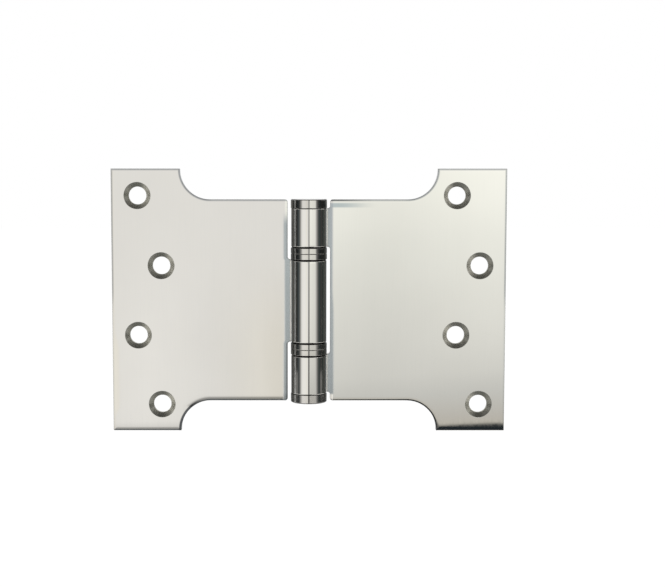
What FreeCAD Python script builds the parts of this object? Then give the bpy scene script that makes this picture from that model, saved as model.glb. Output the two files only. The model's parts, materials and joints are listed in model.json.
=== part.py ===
import FreeCAD, Part
import math
import os
import Sketcher

# Parliament hinge, laid open flat with its pin upright.
# The origin is on the pin's axis at half its height. The frame leaf reaches along +X and the
# door leaf along -X, and both show their front, where the screws go in, towards -Y.
# Each leaf is one sheet: a wide flange with the screw holes, a narrower neck, and a tongue that
# bends back, goes behind the pin and rolls round it to meet its own front face again.

# name, millimetres unless it is a count or an angle, what it measures
SIZES = [
    ("span_open", 152, "width over both leaves, open flat"),
    ("leaf_height", 101.6, "height of a leaf at its flange"),
    ("leaf_thick", 3, "thickness of the sheet"),
    ("flange_width", 26.4, "width of the full-height part of a leaf"),
    ("shoulder_depth", 11.8, "how far the neck's edge lies inside the flange's end"),
    ("shoulder_land", 0.3, "straight run between a shoulder's round and the flange's end"),
    ("closed_gap", 2, "gap between the leaves when shut, half of it before each leaf"),
    ("edge_gap", 1.4, "gap between the knuckles and the other leaf's edge"),
    ("bend_run", 1.2, "how far inside its edge a leaf starts to bend back"),
    ("notch_radius", 1, "rounding in the notches' corners and on the neck's corners"),
    ("seam_gap", 0.3, "gap between a roll's end and the leaf's front"),
    ("barrel_rise", 0.2, "how far the barrel passes each end of the neck"),
    ("outer_knuckle", 14.75, "height of each end knuckle"),
    ("knuckle_chamfer", 0.35, "chamfer on a knuckle's end beside a bearing"),
    ("bearing_height", 4.9, "height of a bearing between two knuckles"),
    ("bearing_lip", 0.15, "how far a bearing stands out past the knuckles"),
    ("bearing_seam", 0.2, "gap between a bearing's two races"),
    ("race_chamfer", 0.35, "chamfer on a race's outer edge beside a knuckle"),
    ("pin_diameter", 7.5, "diameter of the pin"),
    ("pin_clearance", 0.05, "radial play of the pin in its bore"),
    ("pin_chamfer", 0.6, "chamfer on the pin's ends"),
    ("pin_play", 0.3, "gap between the pin and the stem of each cap"),
    ("cap_thick", 3.6, "thickness of a cap's head"),
    ("cap_lip", 0.15, "how far a cap stands out past the knuckles"),
    ("cap_chamfer", 0.3, "chamfer on the edges of a cap's head"),
    ("cap_stem_length", 4, "length of a cap's stem inside the knuckle"),
    ("screw_bore", 6.85, "diameter of a screw hole"),
    ("screw_head", 10.25, "diameter of a countersink at the front face"),
    ("screw_angle", 90, "full angle of a countersink, in degrees"),
    ("end_distance", 10.3, "flange's end to the nearest screw hole"),
    ("outer_edge_distance", 10, "leaf's far edge to the outer screw holes"),
    ("inner_edge_distance", 19, "leaf's far edge to the inner screw holes"),
    ("ball_diameter", 2.38, "diameter of a bearing ball"),
    ("ball_clearance", 0.02, "play of a ball over and under it"),
    ("channel_play", 0.05, "play of a ball at each side of its channel"),
    ("ball_count", 12, "count of balls in a bearing"),
    ("ball_sides", 8, "count of flat faces round a ball"),
    ("ball_bands", 4, "count of rows of faces from a ball's top to its foot"),
]

doc = FreeCAD.newDocument("parliament_hinge")
sheet = doc.addObject("Spreadsheet::Sheet", "size")
for row, (name, number, meaning) in enumerate(SIZES, start=1):
    sheet.set(f"A{row}", meaning)
    sheet.set(f"B{row}", str(number))
    sheet.setAlias(f"B{row}", name)
doc.recompute()

# Lengths that several pieces share, each an expression in the sizes above
BORE_RADIUS = "(size.pin_diameter / 2 + size.pin_clearance)"
KNUCKLE_RADIUS = f"({BORE_RADIUS} + size.leaf_thick)"
LEAF_FRONT = "(size.closed_gap / 2)"
LEAF_EDGE = f"({KNUCKLE_RADIUS} + size.edge_gap)"
BEND_START = f"({LEAF_EDGE} + size.bend_run)"
LEAF_END = "(size.span_open / 2)"
FLANGE_EDGE = f"({LEAF_END} - size.flange_width)"
LEAF_TOP = "(size.leaf_height / 2)"
NECK_TOP = f"({LEAF_TOP} - size.shoulder_depth)"
SHOULDER_RADIUS = "(size.shoulder_depth - size.shoulder_land)"
CAP_SEAT = f"({NECK_TOP} + size.barrel_rise - size.cap_thick)"
BEARING_TOP = f"({CAP_SEAT} - size.outer_knuckle)"
MIDDLE_TOP = f"({BEARING_TOP} - size.bearing_height)"
BEARING_CENTRE = f"({BEARING_TOP} - size.bearing_height / 2)"
RACE_RADIUS = f"({KNUCKLE_RADIUS} + size.bearing_lip)"
BALL_CIRCLE = f"(({BORE_RADIUS} + {RACE_RADIUS}) / 2)"
CAP_RADIUS = f"({KNUCKLE_RADIUS} + size.cap_lip)"
PIN_TOP = f"({CAP_SEAT} - size.cap_stem_length - size.pin_play)"
HOLE_PITCH = "((size.leaf_height - 2 * size.end_distance) / 3)"
OUTER_COLUMN = f"({LEAF_END} - size.outer_edge_distance)"
INNER_COLUMN = f"({LEAF_END} - size.inner_edge_distance)"

# Screw holes from the top down, as steps of the pitch above half height and their column
HOLES = [(1.5, INNER_COLUMN), (0.5, OUTER_COLUMN), (-0.5, INNER_COLUMN), (-1.5, OUTER_COLUMN)]

# A vertex of a sketch's geometry is its start, its end or its centre
START, END, CENTRE = 1, 2, 3
ORIGIN = (-1, START)
HALF_TURN = 180


def value(expression):
    """The number that an expression in the sheet's sizes gives."""
    return float(sheet.evalExpression(expression))


def new_body(label):
    body = doc.addObject("PartDesign::Body", label)
    body.Label = label
    return body


def new_sketch(body, name, role, shift=None):
    """A sketch on one of the body's own planes, shifted along that plane's normal."""
    sketch = body.newObject("Sketcher::SketchObject", name)
    plane = next(feature for feature in body.Origin.OriginFeatures if feature.Role == role)
    sketch.AttachmentSupport = (plane, [""])
    sketch.MapMode = "FlatFace"
    if shift:
        sketch.setExpression("AttachmentOffset.Base.z", shift)
    return sketch


def bind(sketch, kind, places, expression):
    """Add a dimension to a sketch and tie it to an expression."""
    index = sketch.addConstraint(Sketcher.Constraint(kind, *places, value(expression)))
    sketch.setExpression(f"Constraints[{index}]", expression)


def join(sketch, kind, *places):
    sketch.addConstraint(Sketcher.Constraint(kind, *places))


def arc_about(centre, radius, begin, end):
    """An arc that runs from one angle to another, anticlockwise, in radians."""
    circle = Part.Circle(centre, FreeCAD.Vector(0, 0, 1), radius)
    return Part.ArcOfCircle(circle, begin, end)


def round_corner(sketch, line_in, line_out, corner, arriving, leaving, expression):
    """Round the corner between two lines at right angles with a tangent arc."""
    radius = value(expression)
    centre = corner - arriving * radius + leaving * radius
    ends = [corner - arriving * radius - centre, corner + leaving * radius - centre]
    angles = [math.atan2(end.y, end.x) for end in ends]
    anticlockwise = arriving.cross(leaving).z > 0
    vertices = (START, END) if anticlockwise else (END, START)
    arc = sketch.addGeometry(arc_about(centre, radius, *(angles if anticlockwise else angles[::-1])))
    join(sketch, "Tangent", line_in, END, arc, vertices[0])
    join(sketch, "Tangent", line_out, START, arc, vertices[1])
    bind(sketch, "Radius", (arc,), expression)


def square_outline(sketch, corners):
    """Draw a closed outline of level and upright lines.

    Each corner is (across, up), or (across, up, radius) where it is rounded.
    """
    points = [FreeCAD.Vector(value(across), value(up), 0) for across, up, *_ in corners]
    radii = [value(*rounding) if rounding else 0 for _, _, *rounding in corners]
    runs = []
    lines = []
    for here, (across, up, *_) in enumerate(corners):
        after = (here + 1) % len(corners)
        run = (points[after] - points[here]).normalize()
        line = Part.LineSegment(points[here] + run * radii[here], points[after] - run * radii[after])
        level = abs(run.x) > abs(run.y)
        runs.append(run)
        lines.append(sketch.addGeometry(line))
        join(sketch, "Horizontal" if level else "Vertical", lines[-1])
        distance, held = ("DistanceY", up) if level else ("DistanceX", across)
        bind(sketch, distance, (*ORIGIN, lines[-1], START), held)
    for here, (_, _, *rounding) in enumerate(corners):
        if rounding:
            meeting = (lines[here - 1], lines[here], points[here], runs[here - 1], runs[here])
            round_corner(sketch, *meeting, *rounding)
        else:
            join(sketch, "Coincident", lines[here - 1], END, lines[here], START)


def centred_circle(sketch, radius):
    circle = sketch.addGeometry(Part.Circle(FreeCAD.Vector(), FreeCAD.Vector(0, 0, 1), value(radius)))
    join(sketch, "Coincident", circle, CENTRE, *ORIGIN)
    bind(sketch, "Radius", (circle,), radius)


def add_feature(body, kind, name, sketch, **settings):
    """Add a feature made from a sketch. A text setting of Length is an expression."""
    feature = body.newObject(f"PartDesign::{kind}", name)
    feature.Profile = sketch
    for key, setting in settings.items():
        if key == "Length":
            feature.setExpression(key, setting)
        else:
            setattr(feature, key, setting)
    body.Tip = feature
    return feature


def dress_edges(body, kind, name, size_name, expression, wanted):
    """Fillet or chamfer each edge of the body that `wanted` picks."""
    doc.recompute()
    base = body.Tip
    edges = [f"Edge{i}" for i, edge in enumerate(base.Shape.Edges, start=1) if wanted(edge)]
    feature = body.newObject(f"PartDesign::{kind}", name)
    feature.Base = (base, edges)
    feature.setExpression(size_name, expression)
    body.Tip = feature


def is_rim(radius, height=None):
    """Picks the round edges of one radius, at any height or at one."""
    def wanted(edge):
        if not isinstance(edge.Curve, Part.Circle) or not math.isclose(edge.Curve.Radius, value(radius)):
            return False
        return height is None or math.isclose(edge.Curve.Center.z, value(height))
    return wanted


def is_neck_corner(edge):
    """Picks the short edge through the sheet at each of the neck's corners beside the barrel."""
    ends = [vertex.Point for vertex in edge.Vertexes]
    return len(ends) == 2 and all(
        math.isclose(end.x, value(LEAF_EDGE), abs_tol=Part.Precision.confusion())
        and math.isclose(abs(end.z), value(NECK_TOP), abs_tol=Part.Precision.confusion())
        for end in ends
    )


def draw_roll(sketch):
    """Section of the tongue: a gentle bend back from the leaf, then the roll round the pin.

    The bend's arc leaves the leaf's plane level at BEND_START and runs into the roll's arc where
    both have one tangent. The roll stops where its outer corner is a seam's gap from the leaf.
    """
    bore = value(BORE_RADIUS)
    thick = value("size.leaf_thick")
    front = value(LEAF_FRONT)
    start = value(BEND_START)
    middle = front + thick / 2
    roll = bore + thick / 2
    bend = (start**2 + middle**2 - roll**2) / (2 * (roll - middle))
    centre = FreeCAD.Vector(start, middle + bend, 0)
    lip = bend + thick / 2 + value("size.seam_gap")
    outer = bore + thick
    meet = math.atan2(centre.y, centre.x)
    swing = math.acos((centre.Length**2 + outer**2 - lip**2) / (2 * centre.Length * outer))
    stop = meet - swing + 2 * math.pi
    down = 2 * math.pi - math.pi / 2
    tip = FreeCAD.Vector(math.cos(stop), math.sin(stop), 0)

    root = sketch.addGeometry(
        Part.LineSegment(FreeCAD.Vector(start, front, 0), FreeCAD.Vector(start, front + thick, 0))
    )
    bend_back = sketch.addGeometry(arc_about(centre, bend - thick / 2, meet + math.pi, down))
    roll_outside = sketch.addGeometry(arc_about(FreeCAD.Vector(), outer, meet, stop))
    roll_end = sketch.addGeometry(Part.LineSegment(tip * outer, tip * bore))
    roll_inside = sketch.addGeometry(arc_about(FreeCAD.Vector(), bore, meet, stop))
    bend_front = sketch.addGeometry(arc_about(centre, bend + thick / 2, meet + math.pi, down))
    seam_line = sketch.addGeometry(arc_about(centre, lip, meet + math.pi, down), True)

    join(sketch, "Coincident", root, END, bend_back, END)
    join(sketch, "Coincident", root, START, bend_front, END)
    join(sketch, "Coincident", roll_outside, END, roll_end, START)
    join(sketch, "Coincident", roll_inside, END, roll_end, END)
    join(sketch, "Tangent", bend_back, START, roll_outside, START)
    join(sketch, "Tangent", bend_front, START, roll_inside, START)
    join(sketch, "Coincident", roll_outside, CENTRE, *ORIGIN)
    join(sketch, "Coincident", roll_inside, CENTRE, *ORIGIN)
    join(sketch, "Coincident", bend_back, CENTRE, bend_front, CENTRE)
    join(sketch, "Coincident", seam_line, CENTRE, bend_front, CENTRE)
    join(sketch, "Vertical", root)
    join(sketch, "Vertical", root, START, bend_front, CENTRE)
    join(sketch, "Vertical", root, START, seam_line, END)
    join(sketch, "PointOnObject", *ORIGIN, roll_end)
    join(sketch, "Coincident", roll_end, START, seam_line, START)
    bind(sketch, "DistanceX", (*ORIGIN, root, START), BEND_START)
    bind(sketch, "DistanceY", (*ORIGIN, root, START), LEAF_FRONT)
    bind(sketch, "DistanceY", (root, START, root, END), "size.leaf_thick")
    bind(sketch, "DistanceY", (seam_line, END, root, START), "size.seam_gap")
    bind(sketch, "Radius", (roll_inside,), BORE_RADIUS)


def notch_corners(low, high, round_low, round_high):
    """A notch from behind the barrel to the leaf's edge, rounded where a knuckle begins."""
    rounding = ("size.notch_radius",)
    return [
        (f"-{LEAF_EDGE}", low),
        (LEAF_EDGE, low) + (rounding if round_low else ()),
        (LEAF_EDGE, high) + (rounding if round_high else ()),
        (f"-{LEAF_EDGE}", high),
    ]


def chamfer_end(body, name, end, faces_up):
    """Turn a chamfer on a knuckle's end, as a cut round the pin's axis."""
    foot = f"({end} {'-' if faces_up else '+'} size.knuckle_chamfer)"
    corners = [
        (KNUCKLE_RADIUS, end),
        (f"({KNUCKLE_RADIUS} - size.knuckle_chamfer)", end),
        (KNUCKLE_RADIUS, foot),
    ]
    section = new_sketch(body, f"{name}_section", "XZ_Plane")
    points = [FreeCAD.Vector(value(across), value(up), 0) for across, up in corners]
    sides = [
        section.addGeometry(Part.LineSegment(points[here - 1], point)) for here, point in enumerate(points)
    ]
    for here, (across, up) in enumerate(corners):
        join(section, "Coincident", sides[here - 1], END, sides[here], START)
        bind(section, "DistanceX", (*ORIGIN, sides[here], END), across)
        bind(section, "DistanceY", (*ORIGIN, sides[here], END), up)
    add_feature(body, "Groove", name, section, ReferenceAxis=(section, ["V_Axis"]))


def make_leaf(label, notches, bearing_ends):
    """One leaf, reaching along +X, with its roll cut away by the notches.

    A bearing end is a height where a knuckle meets a bearing, and whether that end faces up.
    """
    body = new_body(label)
    plate = new_sketch(body, f"{label}_outline", "XZ_Plane", f"-{LEAF_FRONT}")
    square_outline(plate, [
        (BEND_START, f"-{NECK_TOP}"),
        (FLANGE_EDGE, f"-{NECK_TOP}", SHOULDER_RADIUS),
        (FLANGE_EDGE, f"-{LEAF_TOP}"),
        (LEAF_END, f"-{LEAF_TOP}"),
        (LEAF_END, LEAF_TOP),
        (FLANGE_EDGE, LEAF_TOP),
        (FLANGE_EDGE, NECK_TOP, SHOULDER_RADIUS),
        (BEND_START, NECK_TOP),
    ])
    add_feature(body, "Pad", f"{label}_plate", plate, Length="size.leaf_thick", Reversed=True)

    section = new_sketch(body, f"{label}_section", "XY_Plane")
    draw_roll(section)
    add_feature(body, "Pad", f"{label}_roll", section, Length=f"2 * {NECK_TOP}", SideType="Symmetric")

    for index, notch in enumerate(notches, start=1):
        cut = new_sketch(body, f"{label}_notch_{index}", "XZ_Plane")
        square_outline(cut, notch_corners(*notch))
        add_feature(body, "Pocket", f"{label}_cut_{index}", cut, Type="ThroughAll", SideType="Symmetric")
    dress_edges(body, "Fillet", f"{label}_corners", "Radius", "size.notch_radius", is_neck_corner)
    for index, (end, faces_up) in enumerate(bearing_ends, start=1):
        chamfer_end(body, f"{label}_knuckle_chamfer_{index}", end, faces_up)
    drill_screw_holes(body, label)
    return body


def drill_screw_holes(body, label):
    """Four countersunk holes in a zigzag down the flange."""
    marks = new_sketch(body, f"{label}_marks", "XZ_Plane", f"-{LEAF_FRONT}")
    for step, column in HOLES:
        up = f"({step} * {HOLE_PITCH})"
        centre = FreeCAD.Vector(value(column), value(up), 0)
        circle = Part.Circle(centre, FreeCAD.Vector(0, 0, 1), value("size.screw_bore / 2"))
        mark = marks.addGeometry(circle)
        bind(marks, "DistanceX", (*ORIGIN, mark, CENTRE), column)
        bind(marks, "DistanceY", (*ORIGIN, mark, CENTRE), up)
        bind(marks, "Diameter", (mark,), "size.screw_bore")
    doc.recompute()
    holes = add_feature(
        body, "Hole", f"{label}_screw_holes", marks,
        ThreadType="None", DepthType="ThroughAll", DrillPoint="Flat",
        HoleCutType="Countersink", HoleCutCustomValues=True,
    )
    holes.setExpression("Diameter", "size.screw_bore")
    holes.setExpression("HoleCutDiameter", "size.screw_head")
    holes.setExpression("HoleCutCountersinkAngle", "size.screw_angle")


def make_pin(label):
    """The plain rod that all the knuckles and races turn on."""
    radius = "(size.pin_diameter / 2)"
    body = new_body(label)
    section = new_sketch(body, f"{label}_section", "XY_Plane")
    centred_circle(section, radius)
    add_feature(body, "Pad", f"{label}_rod", section, Length=f"2 * {PIN_TOP}", SideType="Symmetric")
    dress_edges(body, "Chamfer", f"{label}_ends", "Size", "size.pin_chamfer", is_rim(radius))


def make_cap(label, seat, upside_down):
    """A flat round head on a stem that is pressed into the end knuckle's bore."""
    body = new_body(label)
    head = new_sketch(body, f"{label}_head_section", "XY_Plane")
    centred_circle(head, CAP_RADIUS)
    add_feature(body, "Pad", f"{label}_head", head, Length="size.cap_thick")
    stem = new_sketch(body, f"{label}_stem_section", "XY_Plane")
    centred_circle(stem, "size.pin_diameter / 2")
    add_feature(body, "Pad", f"{label}_stem", stem, Length="size.cap_stem_length", Reversed=True)
    dress_edges(body, "Chamfer", f"{label}_rims", "Size", "size.cap_chamfer", is_rim(CAP_RADIUS))
    stand_on_axis(body, seat, upside_down)


def make_race(label, centre, upside_down):
    """Half of a bearing: a ring with a channel for the balls in the face that meets its twin."""
    channel = "(size.ball_diameter / 2 + size.channel_play)"
    seam = "(size.bearing_seam / 2)"
    floor = "(size.ball_diameter / 2 + size.ball_clearance)"
    body = new_body(label)
    section = new_sketch(body, f"{label}_section", "XZ_Plane")
    square_outline(section, [
        (BORE_RADIUS, seam),
        (f"{BALL_CIRCLE} - {channel}", seam),
        (f"{BALL_CIRCLE} - {channel}", floor),
        (f"{BALL_CIRCLE} + {channel}", floor),
        (f"{BALL_CIRCLE} + {channel}", seam),
        (RACE_RADIUS, seam),
        (RACE_RADIUS, "size.bearing_height / 2"),
        (BORE_RADIUS, "size.bearing_height / 2"),
    ])
    add_feature(body, "Revolution", f"{label}_ring", section, ReferenceAxis=(section, ["V_Axis"]))
    outer_rim = is_rim(RACE_RADIUS, "size.bearing_height / 2")
    dress_edges(body, "Chamfer", f"{label}_rim", "Size", "size.race_chamfer", outer_rim)
    stand_on_axis(body, centre, upside_down)


def stand_on_axis(body, height, upside_down):
    """Put a body on the pin's axis at a height, upright or turned over."""
    if upside_down:
        body.Placement = FreeCAD.Placement(
            FreeCAD.Vector(), FreeCAD.Rotation(FreeCAD.Vector(1, 0, 0), HALF_TURN)
        )
    body.setExpression("Placement.Base.z", height)


def faceted_ball(radius, sides, bands):
    """A hidden ball of few flat faces: rings of corners on the true sphere, from pole to pole."""
    turns = [2 * math.pi * side / sides for side in range(sides)]
    around = [FreeCAD.Vector(math.cos(turn), math.sin(turn), 0) for turn in turns]
    rings = []
    for band in range(bands + 1):
        tilt = math.pi * band / bands
        level = FreeCAD.Vector(0, 0, radius * math.cos(tilt))
        rings.append([level + out * radius * math.sin(tilt) for out in around])
    faces = []
    for band in range(bands):
        upper, lower = rings[band], rings[band + 1]
        for side in range(sides):
            corners = [upper[side - 1], lower[side - 1]]
            if band < bands - 1:
                corners.append(lower[side])
            if band > 0:
                corners.append(upper[side])
            faces.append(Part.Face(Part.makePolygon(corners + corners[:1])))
    return Part.Solid(Part.makeShell(faces))


def make_ball(label, turn, height):
    """A bearing ball in its place round the pin, as a turn in radians and a height."""
    ball = doc.addObject("Part::Feature", label)
    ball.Label = label
    ball.Shape = faceted_ball(
        value("size.ball_diameter / 2"), int(value("size.ball_sides")), int(value("size.ball_bands"))
    )
    circle = value(BALL_CIRCLE)
    ball.Placement.Base = FreeCAD.Vector(circle * math.cos(turn), circle * math.sin(turn), value(height))


def check_document():
    """Stop if any object failed or any sub-part has no sound solid."""
    for thing in doc.Objects:
        if {"Invalid", "Error"} & set(thing.State):
            raise RuntimeError(f"{thing.Label} failed: {thing.State}")
    for piece in sub_parts():
        if piece.Shape.isNull() or not piece.Shape.isValid() or len(piece.Shape.Solids) != 1:
            raise RuntimeError(f"{piece.Label} is not one sound solid")


def sub_parts():
    return [thing for thing in doc.Objects if thing.TypeId in ("PartDesign::Body", "Part::Feature")]


# Notches run from one height to another, and say at which of the two a knuckle begins
make_leaf("frame_leaf", [
    (f"-{BEARING_TOP}", BEARING_TOP, True, True),
    (CAP_SEAT, NECK_TOP, True, False),
    (f"-{NECK_TOP}", f"-{CAP_SEAT}", False, True),
], [(BEARING_TOP, False), (f"-{BEARING_TOP}", True)])
door_leaf = make_leaf("door_leaf", [
    (MIDDLE_TOP, NECK_TOP, True, False),
    (f"-{NECK_TOP}", f"-{MIDDLE_TOP}", False, True),
], [(MIDDLE_TOP, True), (f"-{MIDDLE_TOP}", False)])
door_leaf.Placement = FreeCAD.Placement(
    FreeCAD.Vector(), FreeCAD.Rotation(FreeCAD.Vector(0, 1, 0), HALF_TURN)
)
make_pin("hinge_pin")
make_cap("top_cap", CAP_SEAT, False)
make_cap("bottom_cap", f"-{CAP_SEAT}", True)
for end, centre in (("top", BEARING_CENTRE), ("bottom", f"-{BEARING_CENTRE}")):
    make_race(f"{end}_bearing_upper_race", centre, False)
    make_race(f"{end}_bearing_lower_race", centre, True)
    balls = int(value("size.ball_count"))
    for index in range(balls):
        make_ball(f"{end}_bearing_ball_{index + 1:02d}", 2 * math.pi * index / balls, centre)

doc.recompute()
check_document()
os.makedirs("parts", exist_ok=True)
for piece in sub_parts():
    piece.Shape.exportStep(f"parts/{piece.Label}.step")
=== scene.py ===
import json
import math

import bpy
from mathutils import Matrix, Vector

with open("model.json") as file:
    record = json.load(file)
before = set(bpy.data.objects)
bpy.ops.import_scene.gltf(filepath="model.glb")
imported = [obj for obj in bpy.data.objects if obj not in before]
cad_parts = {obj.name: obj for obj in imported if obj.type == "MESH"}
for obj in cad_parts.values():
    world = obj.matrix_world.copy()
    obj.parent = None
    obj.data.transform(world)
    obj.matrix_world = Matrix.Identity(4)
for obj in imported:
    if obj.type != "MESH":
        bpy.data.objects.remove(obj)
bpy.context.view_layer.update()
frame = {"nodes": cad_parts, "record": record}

MM = 0.001


def rgba(red, green, blue):
    return (red, green, blue, 1.0)


# The hinge lies open with its middle at the origin: x runs along the leaves, y to the back
# and z up the pin. Places and sizes on it are in millimetres.

# Outline of a leaf, mirrored about both axes: the polish of its edges follows it
LEAF_END = 76.0
LEAF_TOP = 50.8
SHOULDER_X = 38.1
SHOULDER_Z = 50.5
SHOULDER_RADIUS = 11.5
NECK_START = 8.2

# The radius that the knuckles stay within, and the half heights of their ends at the bearings
BARREL_RADIUS = 7.0
KNUCKLE_END = {"frame_leaf": 20.85, "door_leaf": 15.95}

# Screw holes of each leaf, across and up, and the countersink's cone
HOLES = {
    "frame_leaf": [(57.0, 40.5), (66.0, 13.5), (57.0, -13.5), (66.0, -40.5)],
    "door_leaf": [(-66.0, 40.5), (-57.0, 13.5), (-66.0, -13.5), (-57.0, -40.5)],
}
BORE_RADIUS = 3.425
CONE_APEX = 6.125

# Soft borders between the barrel's front and back, along y, and between the hinge's lower and
# upper half and a leaf's foot and the rest of it, along z
FRONT_TO_BACK = (-1.0, 1.0)
LOW_END_TO_HIGH_END = (-1.0, 1.0)
LOW_TO_HIGH = (-5.0, 5.0)
FOOT_TO_REST = (-20.0, -10.0)

# Where the marks of the polish start or stop, and where the painted shade of the sides, flank, lip and
# rims, the painted highlight of the crease and the painted reflections of the strip and below the right
# neck lie: each pair is the soft edge of a mark
SIDES_START = (2.35, 3.05)
FLANK_START = (5.7, 6.1)
FLANK_STOP = (6.5, 6.7)
STREAK_X = -5.28
STREAK_STOP = (0.15, 0.45)
CREASE_START = (6.6, 6.8)
CREASE_STOP = (7.05, 7.35)
CREASE_BACK = (1.5, 2.5)
STRIP_FRONT = (0.2, 0.8)
STRIP_STOP = (8.6, 9.7)
STRIP_TOP_RIGHT = (36.0, 37.0)
STRIP_TOP_LEFT = (29.0, 35.0)
BESIDE_KNUCKLE = (15.5, 16.5)
LIP_START = (16.2, 16.6)
LIP_STOP = (8.5, 8.9)
RIM_WIDTH = 0.42
RIM_STOP = (0.6, 1.0)
RIM_START = (36.5, 38.5)
FOOT_RIM_START = (40.5, 46.0)
UPPER_RIM_STOP = (0.45, 0.8)
NEAR_STOP = (11.0, 27.0)
REFLECTION_FOOT = (35.6, 36.4)
REFLECTION_TOP = (37.3, 38.1)
FOOT_CORNER = (-46.0, -41.0)
CONE_RIM = (0.02, 0.10)
SOFT_EDGE = 0.1
NECK_MARGIN = 0.3

# How far a face has turned before it counts as an edge, as a groove's wall or as a round
# piece's end, and where the faces of a leaf that look ahead give way to the others
EDGE_FACE = (0.35, 0.85)
GROOVE_FACE = (0.3, 0.5)
END_FACE = (0.85, 0.95)
FRONT_FACE = (-0.8, -0.4)

# Base colours of the steel, and the painted shade, highlights and reflections laid over it. A pair is its
# darkest and lightest tone.
PLATE = (rgba(0.722, 0.703, 0.657), rgba(0.763, 0.745, 0.700))
HAIRLINE = rgba(0.70, 0.69, 0.65)
EDGE = (rgba(0.36, 0.36, 0.35), rgba(0.52, 0.51, 0.49))
# painted shade: dark lines along the outline's notch, along its top and, on the right leaf, near the barrel
RIM_SHADE = rgba(0.06, 0.065, 0.07)
UPPER_RIM_SHADE = rgba(0.36, 0.37, 0.37)
NEAR_RIM_SHADE = rgba(0.10, 0.105, 0.105)
# painted dark reflection below the right leaf's neck
PAINTED_DARK_REFLECTION = rgba(0.42, 0.46, 0.47)
# painted grey-blue reflection of the bend beside the barrel
STRIP_REFLECTION = (rgba(0.38, 0.41, 0.42), rgba(0.44, 0.472, 0.482))
# painted highlight where leaf and barrel meet
CREASE_HIGHLIGHT = rgba(0.94, 0.92, 0.88)
# painted shade beside the knuckles' ends
LIP_SHADE = rgba(0.12, 0.125, 0.13)
# painted shade on the front's sides and on the barrel's flank
SIDES_SHADE = rgba(0.12, 0.12, 0.115)
FLANK_SHADE = rgba(0.08, 0.08, 0.075)
KNUCKLE_STREAK = rgba(0.78, 0.78, 0.76)
TURNED_STREAK = rgba(0.50, 0.50, 0.48)
# painted shade in the grooves at the knuckles' and races' ends
GROOVE_SHADE = rgba(0.05, 0.05, 0.05)
# painted shade and painted light on a countersink's turned wall
CONE_SHADED = (rgba(0.185, 0.185, 0.165), rgba(0.225, 0.225, 0.20))
CONE_LIT = (rgba(0.66, 0.64, 0.56), rgba(0.74, 0.72, 0.64))

# Roughness of the steel
MIRROR_ROUGH = (0.02, 0.035)
KNUCKLE_ROUGH = 0.05
EDGE_ROUGH = 0.26
STRIP_ROUGH = 0.22
FLANK_ROUGH = 0.30
DULL_ROUGH = 0.42
CONE_ROUGH = 0.36

# Relief of the steel: over what width the buffed outline is dubbed off, how much wider at the
# left leaf's foot and how deep, how deep the knuckles' ends are rounded and over what width,
# how high the fine lines, waves and turned rings stand, and the rounding of sharp edges
DUB_WIDTH = 1.5
FOOT_DUB_EXTRA = 1.8
DUB_DEPTH_RIGHT = -0.008
DUB_DEPTH_LEFT = -0.0045
DOME_DEPTH = 0.05
DOME_WIDTH = (0.6, 1.2)
HAIRLINE_HEIGHT = 0.0003
WAVE_HEIGHT = 0.0025
RING_HEIGHT = 0.0015
RING_PITCH = 0.32
LEAF_ROUNDING = 0.3
TURNED_ROUNDING = 0.15

# Each round piece's slot: its darkest and lightest tone, roughness and height of turning lines
ROUND_STEEL = {
    "pin_steel": (rgba(0.60, 0.58, 0.54), rgba(0.66, 0.64, 0.60), 0.07, 0.0006),
    "race_steel": (rgba(0.60, 0.58, 0.54), rgba(0.66, 0.64, 0.59), 0.08, 0.0010),
    "ball_steel": (rgba(0.66, 0.66, 0.67), rgba(0.74, 0.74, 0.75), 0.05, 0.0),
}

# The studio, in metres: the floor's height and reach, its tones and what is added where it is
# seen directly, the strength of the world's light and of the world as it is seen itself, and
# the bearing in degrees where a sloping panel becomes level
FLOOR = -0.26
FLOOR_REACH = (-6, 6)
FLOOR_TONES = (rgba(0.87, 0.87, 0.87), rgba(0.90, 0.90, 0.90))
FLOOR_LIFT = 0.19
WHITE = rgba(1, 1, 1)
WORLD_LIGHT = 0.92
WORLD_SEEN = 1.0
SLOPE_STOP = 12.0


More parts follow.
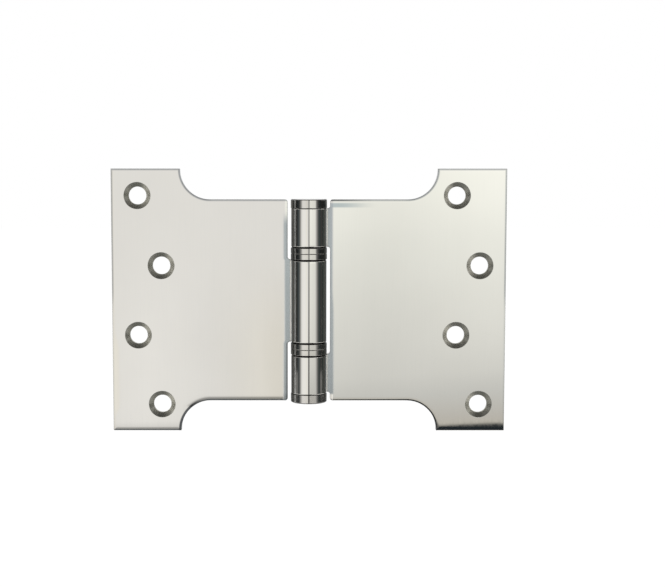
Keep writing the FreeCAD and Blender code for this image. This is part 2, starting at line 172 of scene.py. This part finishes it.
class Nodes:
    """A node tree whose nodes are added by short calls."""

    def __init__(self, tree):
        self.tree = tree

    def node(self, kind, **settings):
        node = self.tree.nodes.new(kind)
        for key, setting in settings.items():
            setattr(node, key, setting)
        return node

    def feed(self, socket, source):
        """Link a socket to another, or set it to a number or colour."""
        if isinstance(source, bpy.types.NodeSocket):
            self.tree.links.new(source, socket)
        else:
            socket.default_value = source

    def math(self, operation, *sources):
        node = self.node("ShaderNodeMath", operation=operation)
        for socket, source in zip(node.inputs, sources):
            self.feed(socket, source)
        return node.outputs[0]

    def add(self, first, second):
        return self.math("ADD", first, second)

    def less(self, first, second):
        return self.math("SUBTRACT", first, second)

    def most(self, first, second):
        return self.math("MAXIMUM", first, second)

    def least(self, first, second):
        return self.math("MINIMUM", first, second)

    def absolute(self, source):
        return self.math("ABSOLUTE", source)

    def times(self, *sources):
        result = sources[0]
        for source in sources[1:]:
            result = self.math("MULTIPLY", result, source)
        return result

    def ramp(self, source, low, high, bottom=0.0, top=1.0):
        """Runs smoothly from bottom to top as the source goes from low to high."""
        node = self.node("ShaderNodeMapRange", interpolation_type="SMOOTHSTEP")
        for socket, setting in zip(node.inputs, (source, low, high, bottom, top)):
            self.feed(socket, setting)
        return node.outputs[0]

    def fall(self, source, low, high):
        """Runs smoothly from 1 to 0 as the source goes from low to high."""
        return self.ramp(source, low, high, 1.0, 0.0)

    def join(self, first, second):
        """A vector of two numbers."""
        node = self.node("ShaderNodeCombineXYZ")
        self.feed(node.inputs[0], first)
        self.feed(node.inputs[1], second)
        return node.outputs[0]

    def split(self, vector):
        node = self.node("ShaderNodeSeparateXYZ")
        self.feed(node.inputs[0], vector)
        return node.outputs[0], node.outputs[1], node.outputs[2]

    def hypotenuse(self, first, second):
        node = self.node("ShaderNodeVectorMath", operation="LENGTH")
        self.feed(node.inputs[0], self.join(first, second))
        return node.outputs["Value"]

    def stretch(self, vector, factors):
        node = self.node("ShaderNodeVectorMath", operation="MULTIPLY")
        self.feed(node.inputs[0], vector)
        self.feed(node.inputs[1], factors)
        return node.outputs[0]

    def noise(self, vector, scale, detail=2.0, roughness=0.5):
        node = self.node("ShaderNodeTexNoise")
        self.feed(node.inputs["Vector"], vector)
        node.inputs["Scale"].default_value = scale
        node.inputs["Detail"].default_value = detail
        node.inputs["Roughness"].default_value = roughness
        return node.outputs["Fac"]

    def mix(self, factor, first, second, data_type="RGBA", blend_type="MIX"):
        """Mix two colours, or two numbers of data type FLOAT."""
        node = self.node("ShaderNodeMix", data_type=data_type, blend_type=blend_type)
        self.feed(node.inputs["Factor"], factor)
        self.feed(node.inputs["A"], first)
        self.feed(node.inputs["B"], second)
        return node.outputs["Result"]


class Finish(Nodes):
    """A material, with its shader and the places on the piece that it is on."""

    def __init__(self, name):
        self.material = bpy.data.materials.new(name)
        self.material.use_nodes = True
        super().__init__(self.material.node_tree)
        self.shader = self.tree.nodes["Principled BSDF"]
        self.place = self.node("ShaderNodeTexCoord").outputs

    def millimetres(self):
        """The place on the piece in millimetres."""
        return self.stretch(self.place["Object"], (1 / MM, 1 / MM, 1 / MM))

    def streak(self, x):
        """The thin bright line down the barrel's left side."""
        return self.fall(self.absolute(self.less(x, STREAK_X)), *STREAK_STOP)

    def steel(self, tone, rough, marks):
        """Steel with marks over it, each a mask, a tone, and a roughness unless it is None."""
        for mask, mark_tone, mark_rough in marks:
            tone = self.mix(mask, tone, mark_tone)
            if mark_rough is not None:
                rough = self.mix(mask, rough, mark_rough, data_type="FLOAT")
        self.feed(self.shader.inputs["Base Color"], tone)
        self.feed(self.shader.inputs["Roughness"], rough)
        self.shader.inputs["Metallic"].default_value = 1.0

    def bump(self, height, rounding):
        """Relief from a height, over sharp edges that are rounded by a radius, in millimetres."""
        edge = self.node("ShaderNodeBevel", samples=8)
        edge.inputs["Radius"].default_value = rounding * MM
        node = self.node("ShaderNodeBump")
        node.inputs["Distance"].default_value = MM
        self.feed(node.inputs["Height"], height)
        self.feed(node.inputs["Normal"], edge.outputs[0])
        self.feed(self.shader.inputs["Normal"], node.outputs[0])

    def surface(self, source):
        """Show a source instead of the shader, and count it as no lamp."""
        self.feed(self.tree.nodes["Material Output"].inputs["Surface"], source)
        self.material.cycles.emission_sampling = "NONE"


def outline_distances(finish, across, up):
    """Distances in from the outline's notch, and in from the nearest part of the whole outline."""
    beside = finish.most(finish.less(across, SHOULDER_X), 0.0)
    below = finish.most(finish.less(SHOULDER_Z, up), 0.0)
    notch = finish.less(finish.hypotenuse(beside, below), SHOULDER_RADIUS)
    ends = finish.least(finish.less(LEAF_END, across), finish.less(LEAF_TOP, up))
    return notch, finish.least(notch, ends)


def hole_distance(finish, x, z, holes):
    """Distance from the nearest hole's axis."""
    nearest = None
    for hole_x, hole_z in holes:
        distance = finish.hypotenuse(finish.less(x, hole_x), finish.less(z, hole_z))
        nearest = distance if nearest is None else finish.least(nearest, distance)
    return nearest


def painted_cone_light(finish, place, outward, face_z):
    """Turned steel with painted light and shade: lightest where a countersink's wall faces outward and
    darkest at its top.
    """
    lit = finish.add(
        finish.ramp(outward, 0.1, 0.7, bottom=0.0, top=0.9),
        finish.ramp(outward, -0.7, -0.2, bottom=0.2, top=0.0),
    )
    lit = finish.add(lit, finish.ramp(face_z, 0.3, 0.7, bottom=0.0, top=0.35))
    grain = finish.noise(place, scale=1.6, detail=3.0)
    return finish.mix(lit, finish.mix(grain, *CONE_SHADED), finish.mix(grain, *CONE_LIT))


def leaf_finish(name, holes, knuckle_end):
    """Mirror-polished sheet with buffed edges, rougher crevices with painted shade, painted highlights and
    reflections, and four turned countersinks with painted light and shade.
    """
    finish = Finish(name)
    right = holes[0][0] > 0
    place = finish.millimetres()
    x, y, z = finish.split(place)
    face_x, face_y, face_z = finish.split(finish.place["Normal"])
    own = finish.times(x, 1.0 if right else -1.0)  # across, but below 0 on the other leaf's side
    across = finish.absolute(x)
    up = finish.absolute(z)
    on_barrel = finish.fall(finish.hypotenuse(x, y), BARREL_RADIUS - SOFT_EDGE, BARREL_RADIUS)
    front = finish.fall(y, *FRONT_TO_BACK)
    ahead = finish.fall(face_y, *FRONT_FACE)
    notch, inside = outline_distances(finish, across, up)
    nearest = hole_distance(finish, x, z, holes)
    cone = finish.most(finish.less(CONE_APEX, y), BORE_RADIUS)
    turned = finish.fall(finish.less(nearest, cone), *CONE_RIM)

    # the two leaves were buffed differently: at the left one's foot the outline is dubbed off wider
    # the painted reflection strip and the painted shade of the rim also lie differently on each leaf
    if right:
        strip_shift = finish.ramp(z, *LOW_TO_HIGH, bottom=0.4, top=0.0)
        strip_end = finish.fall(up, *STRIP_TOP_RIGHT)
        rim_width = RIM_WIDTH
        dub_width = DUB_WIDTH
        dub_depth = DUB_DEPTH_RIGHT
    else:
        strip_shift = finish.ramp(up, *BESIDE_KNUCKLE, bottom=0.2, top=0.6)
        strip_end = finish.fall(z, *STRIP_TOP_LEFT)
        rim_width = finish.ramp(z, *FOOT_TO_REST, bottom=1.15, top=0.45)
        foot = finish.times(finish.fall(z, *FOOT_TO_REST), finish.ramp(z, *FOOT_CORNER))
        dub_width = finish.add(finish.times(foot, FOOT_DUB_EXTRA), DUB_WIDTH)
        dub_depth = DUB_DEPTH_LEFT

    # sheared and linished edges of the sheet, told by the way they face
    sideways = finish.fall(finish.absolute(face_y), *EDGE_FACE)
    on_plate = finish.ramp(across, NECK_START - NECK_MARGIN, NECK_START - SOFT_EDGE)
    level = finish.ramp(finish.absolute(face_z), *EDGE_FACE)
    edge = finish.most(finish.times(sideways, on_plate), level)
    # painted shade in the grooves at the knuckles' ends
    groove_shade = finish.times(finish.ramp(finish.absolute(face_z), *GROOVE_FACE), on_barrel)

    # painted shade: dark lines along the outline
    rim_shade = finish.fall(finish.math("DIVIDE", notch, rim_width), *RIM_STOP)
    rim_shade = finish.times(rim_shade, finish.ramp(across, *RIM_START))
    if not right:
        above_foot = finish.ramp(z, *FOOT_TO_REST)
        rim_shade = finish.times(rim_shade, finish.most(finish.ramp(across, *FOOT_RIM_START), above_foot))
    upper_rim_shade = finish.fall(inside, *UPPER_RIM_STOP)
    upper_rim_shade = finish.times(upper_rim_shade, finish.ramp(z, *LOW_TO_HIGH, bottom=0.2, top=0.8))

    # painted reflection, highlight and shade by the barrel: a grey-blue strip beside it, a light line
    # where leaf and barrel meet, the barrel's flank painted dark, and the thin lighter line on it
    strip_reflection = finish.fall(finish.less(across, strip_shift), *STRIP_STOP)
    strip_reflection = finish.times(strip_reflection, finish.ramp(y, *STRIP_FRONT), finish.less(1.0, on_barrel), ahead, strip_end)
    crease_highlight = finish.times(finish.ramp(own, *CREASE_START), finish.fall(own, *CREASE_STOP))
    crease_highlight = finish.times(crease_highlight, finish.fall(y, *CREASE_BACK))
    flank_shade = finish.times(finish.ramp(across, *FLANK_START), finish.fall(own, *FLANK_STOP), on_barrel, front)
    streak = finish.times(finish.streak(x), on_barrel, front)

    cloud = finish.noise(place, scale=0.045, detail=3.0, roughness=0.55)
    along = finish.stretch(place, (1.6, 1.0, 0.04))
    hairlines = finish.noise(along, scale=1.6, detail=4.0, roughness=0.7)
    through = finish.stretch(place, (2.5, 0.25, 2.5))
    edge_grain = finish.noise(through, scale=1.4, detail=3.0, roughness=0.65)

    lined = finish.ramp(hairlines, 0.4, 0.75, bottom=0.0, top=0.25)
    tone = finish.mix(lined, finish.mix(cloud, *PLATE), HAIRLINE)
    rough = finish.ramp(hairlines, 0.35, 0.7, *MIRROR_ROUGH)
    rough = finish.mix(on_barrel, rough, KNUCKLE_ROUGH, data_type="FLOAT")
    marks = [
        (edge, finish.mix(edge_grain, *EDGE), EDGE_ROUGH),
        (rim_shade, RIM_SHADE, None),
        (upper_rim_shade, UPPER_RIM_SHADE, None),
    ]
    # on the right leaf, a painted dark reflection below the neck and painted shade on the rim near the
    # barrel
    if right:
        near = finish.fall(x, *NEAR_STOP)
        painted_reflection = finish.times(near, ahead, finish.ramp(z, *REFLECTION_FOOT), finish.fall(z, *REFLECTION_TOP))
        marks += [(painted_reflection, PAINTED_DARK_REFLECTION, None), (finish.times(upper_rim_shade, near), NEAR_RIM_SHADE, None)]
    marks += [(strip_reflection, finish.mix(cloud, *STRIP_REFLECTION), STRIP_ROUGH), (crease_highlight, CREASE_HIGHLIGHT, DULL_ROUGH)]
    # on the left leaf, painted shade beside the knuckles' ends, stronger lower down
    if not right:
        lip_shade = finish.times(strip_reflection, finish.fall(across, *LIP_STOP), finish.ramp(up, *LIP_START))
        lip_shade = finish.times(lip_shade, finish.ramp(z, *LOW_TO_HIGH, bottom=0.75, top=0.3))
        marks.append((lip_shade, LIP_SHADE, None))
    outward = finish.times(face_x, finish.math("SIGN", x))
    marks += [
        (flank_shade, FLANK_SHADE, FLANK_ROUGH),
        (streak, KNUCKLE_STREAK, DULL_ROUGH),
        (groove_shade, GROOVE_SHADE, None),
        (turned, painted_cone_light(finish, place, outward, face_z), CONE_ROUGH),
    ]
    finish.steel(tone, rough, marks)

    # buffing dubs the outline off and rounds the knuckles' ends, and the countersinks have rings
    dub = finish.most(finish.less(dub_width, inside), 0.0)
    gap = finish.absolute(finish.less(up, knuckle_end))
    dome_width = finish.ramp(z, *LOW_END_TO_HIGH_END, *DOME_WIDTH)
    dome = finish.most(finish.less(dome_width, gap), 0.0)
    rings = finish.math("SINE", finish.times(nearest, 2 * math.pi / RING_PITCH))
    height = finish.less(finish.times(dub, dub, dub_depth), finish.times(dome, dome, on_barrel, DOME_DEPTH))
    height = finish.add(height, finish.times(hairlines, HAIRLINE_HEIGHT))
    height = finish.add(height, finish.times(cloud, WAVE_HEIGHT))
    height = finish.add(height, finish.times(rings, turned, RING_HEIGHT))
    finish.bump(height, LEAF_ROUNDING)
    return finish.material


def turned_finish(name, dark, light, shine, line_height):
    """Polished round steel with fine turning lines round its axis, and painted shade on the front's sides,
    flank and grooves.
    """
    finish = Finish(name)
    place = finish.millimetres()
    x, y, z = finish.split(place)
    across = finish.absolute(x)
    front = finish.fall(y, *FRONT_TO_BACK)
    lines = finish.join(finish.hypotenuse(x, y), z)
    lines = finish.noise(lines, scale=5.5, detail=3.0, roughness=0.6)
    cloud = finish.noise(place, scale=0.35)
    level = finish.absolute(finish.split(finish.place["Normal"])[2])
    # painted shade on the front's sides, stronger higher up, and on its flank and in its grooves
    sides_shade = finish.times(finish.ramp(across, *SIDES_START), front)
    sides_shade = finish.times(sides_shade, finish.ramp(z, *LOW_TO_HIGH, bottom=0.35, top=0.65))
    groove_shade = finish.times(finish.ramp(level, *GROOVE_FACE), finish.fall(level, *END_FACE))
    rough = finish.ramp(lines, 0.3, 0.7, bottom=shine, top=shine * 1.6)
    finish.steel(finish.mix(cloud, dark, light), rough, [
        (sides_shade, SIDES_SHADE, None),
        (finish.times(finish.ramp(across, *FLANK_START), front), FLANK_SHADE, FLANK_ROUGH),
        (finish.times(finish.streak(x), front), TURNED_STREAK, DULL_ROUGH),
        (groove_shade, GROOVE_SHADE, None),
    ])
    finish.bump(finish.times(lines, line_height), TURNED_ROUNDING)
    return finish.material


def dress_all():
    """Every CAD node of the hinge gets its finish."""
    steel = {slot: turned_finish(slot, *settings) for slot, settings in ROUND_STEEL.items()}
    slots = {part["node"]: part["material_slot"] for part in frame["record"]["subparts"]}
    for node, thing in frame["nodes"].items():
        if node in HOLES:
            material = leaf_finish(node, HOLES[node], KNUCKLE_END[node])
        else:
            material = steel[slots[node]]
        thing.data.materials.clear()
        thing.data.materials.append(material)


def stage_mesh(name, corners, faces, spots, material):
    """A stage mesh. Spots are one (across, up) place per corner for its shading."""
    mesh = bpy.data.meshes.new(name)
    mesh.from_pydata(corners, [], faces)
    layer = mesh.uv_layers.new(name="spot")
    for loop in mesh.loops:
        layer.data[loop.index].uv = spots[loop.vertex_index]
    mesh.materials.append(material)
    thing = bpy.data.objects.new(name, mesh)
    bpy.context.scene.collection.objects.link(thing)
    return thing


def rectangle(name, corners, material):
    """A stage rectangle, with its first two corners at the foot of its shading."""
    return stage_mesh(name, corners, [(0, 1, 2, 3)], [(0, 0), (1, 0), (1, 1), (0, 1)], material)


def sheet(name, x_range, y_range, z, material):
    """A level rectangle."""
    (x_low, x_high), (y_low, y_high) = x_range, y_range
    corners = [(x_low, y_low, z), (x_high, y_low, z), (x_high, y_high, z), (x_low, y_high, z)]
    return rectangle(name, corners, material)


def shade_ramp(finish, place, stops):
    """The brightness or colour at a place from 0 to 1 along a row of stops."""
    ramp = finish.node("ShaderNodeValToRGB")
    elements = ramp.color_ramp.elements
    elements.remove(elements[1])
    for index, (share, shade) in enumerate(stops):
        element = elements[0] if index == 0 else elements.new(share)
        element.position = share
        element.color = rgba(*shade) if isinstance(shade, tuple) else rgba(shade, shade, shade)
    finish.feed(ramp.inputs[0], place)
    return ramp.outputs[0]


def glow(name, across=((0.0, 1.0),), up=((0.0, 1.0),), across_low=None, turn=(0.0, 1.0)):
    """A plain light surface, graded across and up its spots.

    Its low part can be graded across in another way, up to the two shares in turn.
    """
    finish = Finish(name)
    spot_across, spot_up, _ = finish.split(finish.place["UV"])
    shade = shade_ramp(finish, spot_across, across)
    if across_low:
        shade = finish.mix(finish.ramp(spot_up, *turn), shade_ramp(finish, spot_across, across_low), shade)
    emission = finish.node("ShaderNodeEmission")
    shade = finish.mix(1.0, shade, shade_ramp(finish, spot_up, up), blend_type="MULTIPLY")
    finish.feed(emission.inputs["Color"], shade)
    finish.surface(emission.outputs[0])
    return finish.material


def only_reflected(thing):
    """A studio card that shows in polished metal and nowhere else."""
    thing.visible_camera = False
    thing.visible_diffuse = False
    thing.visible_transmission = False
    thing.visible_volume_scatter = False
    thing.visible_shadow = False


def shares(stops):
    """Stops by place as stops by their share of the way from the first place to the last."""
    first, last = stops[0][0], stops[-1][0]
    return [((place - first) / (last - first), shade) for place, shade in stops]


def wall(name, radius, across, up, across_low=None, turn=(0.0, 1.0), slope=0.0, pivot=0.0):
    """An upright curved card round the hinge, graded across by bearings and up by heights.

    A bearing is in degrees: 0 is in front of the hinge and 90 is on the frame leaf's side.
    The heights hold at the pivot's bearing, and rise by the slope for each degree from there
    to SLOPE_STOP, as they fall on its other side.
    """
    start, stop = across[0][0], across[-1][0]
    foot, top = up[0][0], up[-1][0]
    steps = max(2, round(abs(stop - start)))
    corners, spots = [], []
    for step in range(steps + 1):
        share = step / steps
        degrees = start + (stop - start) * share
        lift = slope * (min(degrees, SLOPE_STOP) - pivot)
        x = radius * math.sin(math.radians(degrees))
        y = -radius * math.cos(math.radians(degrees))
        corners += [(x, y, foot + lift), (x, y, top + lift)]
        spots += [(share, 0.0), (share, 1.0)]
    faces = [(2 * i, 2 * i + 2, 2 * i + 3, 2 * i + 1) for i in range(steps)]
    low = shares(across_low) if across_low else None
    turn = [(height - foot) / (top - foot) for height in turn]
    material = glow(name, shares(across), shares(up), low, turn)
    only_reflected(stage_mesh(name, corners, faces, spots, material))


def seen_directly(nodes):
    """1 for camera, glossy and transmission rays, and 0 for the rest."""
    rays = nodes.node("ShaderNodeLightPath").outputs
    either = nodes.most(rays["Is Camera Ray"], rays["Is Glossy Ray"])
    return nodes.most(either, rays["Is Transmission Ray"])


def make_floor():
    finish = Finish("pale_floor")
    speckle = finish.noise(finish.place["Object"], scale=60.0)
    diffuse = finish.node("ShaderNodeBsdfDiffuse")
    finish.feed(diffuse.inputs["Color"], finish.mix(speckle, *FLOOR_TONES))
    lift = finish.node("ShaderNodeEmission")
    lift.inputs["Color"].default_value = WHITE
    finish.feed(lift.inputs["Strength"], finish.times(seen_directly(finish), FLOOR_LIFT))
    both = finish.node("ShaderNodeAddShader")
    finish.feed(both.inputs[0], diffuse.outputs[0])
    finish.feed(both.inputs[1], lift.outputs[0])
    finish.surface(both.outputs[0])
    sheet("floor", FLOOR_REACH, FLOOR_REACH, FLOOR, finish.material)


def make_world():
    world = bpy.data.worlds.new("studio")
    world.use_nodes = True
    bpy.context.scene.world = world
    nodes = Nodes(world.node_tree)
    background = nodes.tree.nodes["Background"]
    background.inputs["Color"].default_value = WHITE
    strength = nodes.ramp(seen_directly(nodes), 0.0, 1.0, bottom=WORLD_LIGHT, top=WORLD_SEEN)
    nodes.feed(background.inputs["Strength"], strength)


def make_lamp(name, place, size, power):
    light = bpy.data.lights.new(name, "AREA")
    light.shape = "RECTANGLE"
    light.size, light.size_y = size
    light.energy = power
    lamp = bpy.data.objects.new(name, light)
    bpy.context.scene.collection.objects.link(lamp)
    lamp.location = place
    lamp.rotation_mode = "QUATERNION"
    lamp.rotation_quaternion = (-Vector(place)).to_track_quat("-Z", "Y")
    lamp.visible_camera = False


def make_panels():
    """Two soft panels in front of the hinge and one behind it."""
    left_end = [
        (-46, 1.0), (-38, 1.05), (-30, 1.06), (-20, 1.05),
        (-15, (1.06, 1.04, 0.97)), (-13, (1.02, 1.0, 0.96)),
    ]
    wall(
        "panel_left", radius=1.0,
        across=left_end + [(-12, 0.975), (-9.9, 0.98), (-7.9, 0.99), (-4.5, 0.975), (-1.2, 0.97)],
        up=[
            (FLOOR, 0.30), (-0.245, 0.45), (-0.238, 0.80), (-0.23, 0.99),
            (-0.20, 1.0), (0.06, 1.0), (0.2, 0.9), (0.45, 0.75),
        ],
        across_low=left_end + [
            (-12, 1.0), (-9.9, 1.03), (-7.9, 1.0), (-6.2, 0.955), (-4.5, (0.94, 0.935, 0.92)),
            (-2.9, (0.955, 0.94, 0.90)), (-1.8, (0.90, 0.88, 0.83)), (-1.2, (0.89, 0.87, 0.82)),
        ],
        turn=(-0.16, -0.03),
    )
    dark_foot = (0.021, 0.028, 0.033)
    wall(
        "panel_right", radius=1.0,
        across=[
            (1.2, 1.05), (2.5, 1.03), (4, 1.0), (5.6, 1.0), (7.1, 1.03), (8.8, 1.07), (11.8, 1.12),
            (20, 1.06), (35, 1.02), (46, 0.96),
        ],
        up=[
            (FLOOR, dark_foot), (-0.2331, dark_foot), (-0.2327, (0.65, 0.63, 0.58)),
            (-0.226, (0.635, 0.62, 0.59)), (-0.20, (0.71, 0.72, 0.71)), (-0.175, (0.81, 0.82, 0.805)),
            (-0.118, (0.868, 0.88, 0.86)), (-0.082, (0.91, 0.925, 0.90)), (-0.03, (0.985, 1.005, 0.975)),
            (0.0, (1.05, 1.07, 1.035)), (0.04, (1.12, 1.14, 1.10)), (0.15, 1.2), (0.25, 0.8), (0.45, 0.6),
        ],
        across_low=[
            (1.2, 1.04), (2.5, 1.01), (4, 1.0), (5.6, 1.01), (7.1, 1.01), (8.8, 1.01), (10.5, 1.01),
            (11.8, 1.0), (20, 1.0), (35, 0.98), (46, 0.93),
        ],
        turn=(-0.20, -0.12), slope=0.0014, pivot=9.1,
    )
    wall(
        "panel_back", radius=1.2,
        across=[(118, 0.92), (150, 1.0), (180, 1.02), (210, 1.0), (242, 0.92)],
        up=[(FLOOR, 0.72), (-0.12, 0.86), (0.1, 0.98), (0.6, 1.0)],
    )


def make_flags():
    """Dark flags at both sides, and lower ones that shade the foot of what is seen past them."""
    even = [(FLOOR, 1.0), (0.14, 1.0)]
    wall("flag_left", radius=0.9, across=[
        (-44, 0.95), (-51.4, 0.75), (-56, 0.39), (-61.4, 0.165), (-66.6, (0.09, 0.10, 0.105)),
        (-72, (0.06, 0.078, 0.084)), (-77.6, (0.036, 0.045, 0.05)), (-81, 0.04), (-98, 0.05),
    ], up=even)
    wall("flag_right", radius=0.9, across=[
        (44, 0.72), (46.2, 0.66), (53.3, 0.38), (60.8, 0.145), (68.4, (0.062, 0.078, 0.078)),
        (76.4, (0.047, 0.06, 0.062)), (84, 0.047), (91, 0.06), (98, 0.06),
    ], up=even)
    low = [(FLOOR, 0.5), (-0.182, 0.5), (-0.172, 1.0), (-0.153, 1.0)]
    wall("low_left", radius=0.85, across=[
        (-72, 0.08), (-78, 0.17), (-84, 0.24), (-90, 0.25), (-98, 0.16), (-112, 0.10), (-150, 0.10),
    ], up=low)
    wall("low_right", radius=0.85, across=[
        (76, 0.05), (80, 0.12), (84, 0.18), (88, 0.2), (98, 0.16), (112, 0.10), (150, 0.10),
    ], up=low)


def make_dark_cards():
    """A dark mat on the floor, a thin wire that the barrel's middle mirrors, and a dark ceiling."""
    dark_end = (0.02, 0.026, 0.032)
    mat = glow(
        "dark_mat",
        up=[(0.0, dark_end), (0.1, dark_end), (0.25, 0.09), (0.8, 0.08), (0.88, 0.4), (1.0, 0.95)],
        across_low=[(0.0, 3.0), (0.46, 3.0), (0.54, 1.0)], turn=(0.8, 0.86),
    )
    only_reflected(sheet("dark_mat", (-0.24, 0.24), (-0.98, -0.05), FLOOR + 0.004, mat))
    left, right, ahead = -0.3 * MM, 0.3 * MM, -7.3 * MM
    low, high = -39.0 * MM, 39.0 * MM
    corners = [(left, ahead, low), (right, ahead, low), (right, ahead, high), (left, ahead, high)]
    only_reflected(rectangle("wire", corners, glow("wire", up=[(0.0, 0.12), (1.0, 0.47)])))
    ceiling = glow("ceiling", across=[(0.0, 0.07)])
    only_reflected(sheet("ceiling", (-1.2, 1.2), (-1.2, 0.1), 0.62, ceiling))


def make_camera(place, tilt, roll):
    """A camera in front of the hinge, at a place in millimetres, tilted down in degrees."""
    camera = bpy.data.cameras.new("camera")
    camera.lens = 77.46
    camera.shift_x = 0.0429
    camera.sensor_width = 36.0
    camera.clip_start = 0.01
    camera.clip_end = 50.0
    thing = bpy.data.objects.new("camera", camera)
    bpy.context.scene.collection.objects.link(thing)
    down = Matrix.Rotation(math.pi / 2 - math.radians(tilt), 4, "X")
    turn = down @ Matrix.Rotation(math.radians(roll), 4, "Z")
    thing.matrix_world = Matrix.Translation(Vector(place) * MM) @ turn
    bpy.context.scene.camera = thing


make_camera((-1.88, -549.4, 54.31), tilt=5.35, roll=0.022)
dress_all()
make_world()
make_floor()
make_panels()
make_flags()
make_dark_cards()
make_lamp("key", place=(-0.9, -1.3, 1.3), size=(1.0, 1.0), power=4.0)
make_lamp("fill", place=(1.1, -1.1, 1.0), size=(1.2, 1.2), power=3.0)
bpy.context.scene.view_settings.view_transform = "Standard"
